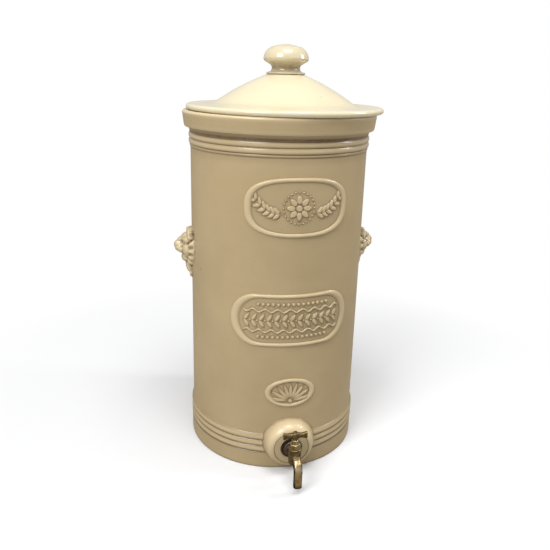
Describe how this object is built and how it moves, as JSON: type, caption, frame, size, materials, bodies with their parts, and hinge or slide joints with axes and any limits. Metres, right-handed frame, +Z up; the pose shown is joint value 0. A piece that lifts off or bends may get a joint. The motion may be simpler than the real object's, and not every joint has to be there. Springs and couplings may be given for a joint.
{
  "type": "gravity water filter with tap",
  "caption": "Tall lidded stoneware jar with a lift-out charcoal filter pan, animal-mask side ornaments and a small screw-down tap at the foot.",
  "frame": {"origin": "centre of the jar's foot, on the surface that it stands on", "axes": "+Z up along the jar's axis, tap towards -Y, side masks on the X axis"},
  "size_m": [0.2744, 0.2995, 0.5325],
  "materials": {
    "jar_glaze": "warm buff salt-glazed stoneware, glossy, darker where glaze pools in the grooves",
    "lid_glaze": "pale cream glaze, glossy",
    "plain_stoneware": "unglazed buff stoneware",
    "worn_nickel": "worn nickel plate with brass showing through",
    "yellow_brass": "turned brass",
    "dark_rubber": "black rubber",
    "oiled_leather": "oiled leather",
    "wool_felt": "grey-white wool felt",
    "charcoal": "black granular charcoal"
  },
  "bodies": {
    "jar": {"filter_jar": "jar_glaze", "jar_ledge": "jar_glaze", "tap_boss": "jar_glaze", "upper_medallion": "jar_glaze", "middle_medallion": "jar_glaze", "lower_medallion": "jar_glaze", "left_mask": "jar_glaze", "right_mask": "jar_glaze", "air_pipe": "jar_glaze", "front_washer": "dark_rubber", "tap_body": "worn_nickel", "tap_spout": "worn_nickel", "back_washer": "dark_rubber", "back_nut": "yellow_brass", "bonnet": "worn_nickel", "gland_packing": "wool_felt", "gland_nut": "worn_nickel"},
    "lid": {"lid": "lid_glaze", "lid_knob": "lid_glaze"},
    "filter_pan": {"filter_pan": "plain_stoneware", "pan_seal": "dark_rubber", "lower_felt": "wool_felt", "charcoal_bed": "charcoal", "upper_felt": "wool_felt"},
    "cover_plate": {"cover_plate": "plain_stoneware", "cover_knob": "plain_stoneware"},
    "jumper": {"jumper_valve": "yellow_brass", "jumper_washer": "oiled_leather"},
    "spindle": {"spindle": "yellow_brass", "tap_handle": "worn_nickel", "handle_screw": "worn_nickel"}
  },
  "joints": [
    {"name": "lid_lift", "type": "slide", "parent": "jar", "child": "lid", "axis": [0, 0, 1], "range_m": [0, 0.12]},
    {"name": "pan_lift", "type": "slide", "parent": "jar", "child": "filter_pan", "axis": [0, 0, 1], "range_m": [0, 0.065]},
    {"name": "cover_lift", "type": "slide", "parent": "filter_pan", "child": "cover_plate", "axis": [0, 0, 1], "range_m": [0, 0.11]},
    {"name": "jumper_lift", "type": "slide", "parent": "jar", "child": "jumper", "axis": [0, 0, 1], "range_m": [0, 0.0025]},
    {"name": "spindle_turn", "type": "hinge", "parent": "jumper", "child": "spindle", "pos_m": [0, -0.15, 0.06], "axis": [0, 0, 1], "range_deg": [-3, 455]}
  ],
  "couplings": [
    {"joint": "spindle_turn", "follows": "jumper_lift", "rad_per_m": 3141.6}
  ]
}
